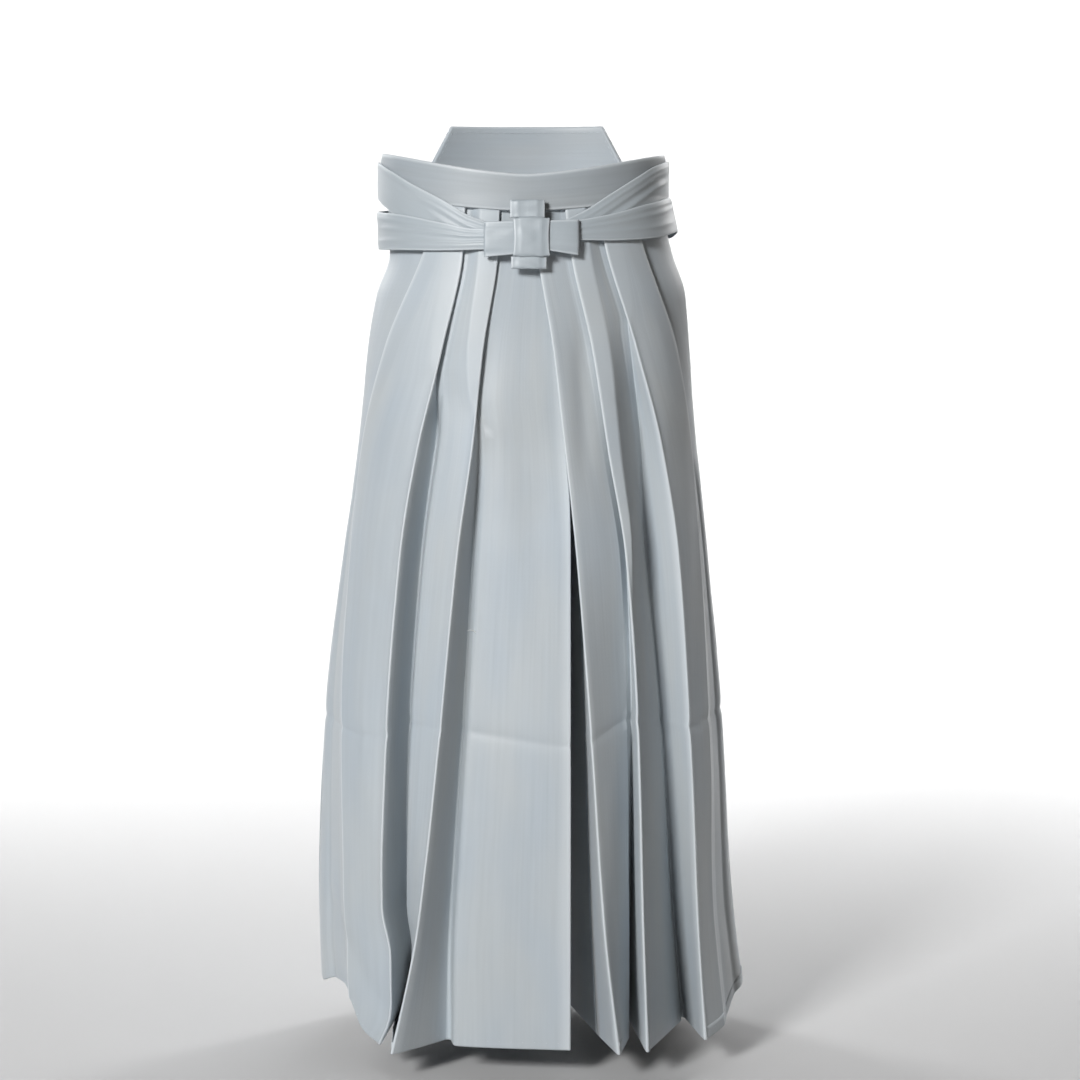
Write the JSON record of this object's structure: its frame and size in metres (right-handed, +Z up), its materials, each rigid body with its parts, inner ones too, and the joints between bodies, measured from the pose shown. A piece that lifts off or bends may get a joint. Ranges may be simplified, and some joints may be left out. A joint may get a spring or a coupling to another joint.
{
  "type": "hakama trousers",
  "caption": "Divided pleated hakama as worn: pleated fronts, plain backs, leg gussets, stiff back board, and ties knotted in a cross at the front waist.",
  "frame": {"origin": "the middle of the waist opening, where the wearer's waist holds the garment", "axes": "+Z up, the front faces -Y, the wearer's left leg is towards +X"},
  "size_m": [0.4984, 0.3723, 1.0348],
  "materials": {
    "panel_cloth": "fine plain weave of silk, pale grey blue, with a soft sheen",
    "tie_cloth": "fine plain weave of silk, folded flat, pale grey blue",
    "board_cloth": "fine plain weave of silk over a stiff board, pale grey blue"
  },
  "bodies": {
    "root": {"front_right": "panel_cloth", "front_left": "panel_cloth", "back_right": "panel_cloth", "back_left": "panel_cloth", "gusset_right": "panel_cloth", "gusset_left": "panel_cloth", "front_waistband": "panel_cloth", "back_board": "board_cloth", "front_tie_right": "tie_cloth", "front_tie_left": "tie_cloth", "back_tie_right": "tie_cloth", "back_tie_left": "tie_cloth", "knot_wrap": "tie_cloth", "knot_loop_right": "tie_cloth", "knot_loop_left": "tie_cloth", "knot_loop_upper": "tie_cloth", "knot_tail_lower": "tie_cloth"}
  },
  "joints": []
}
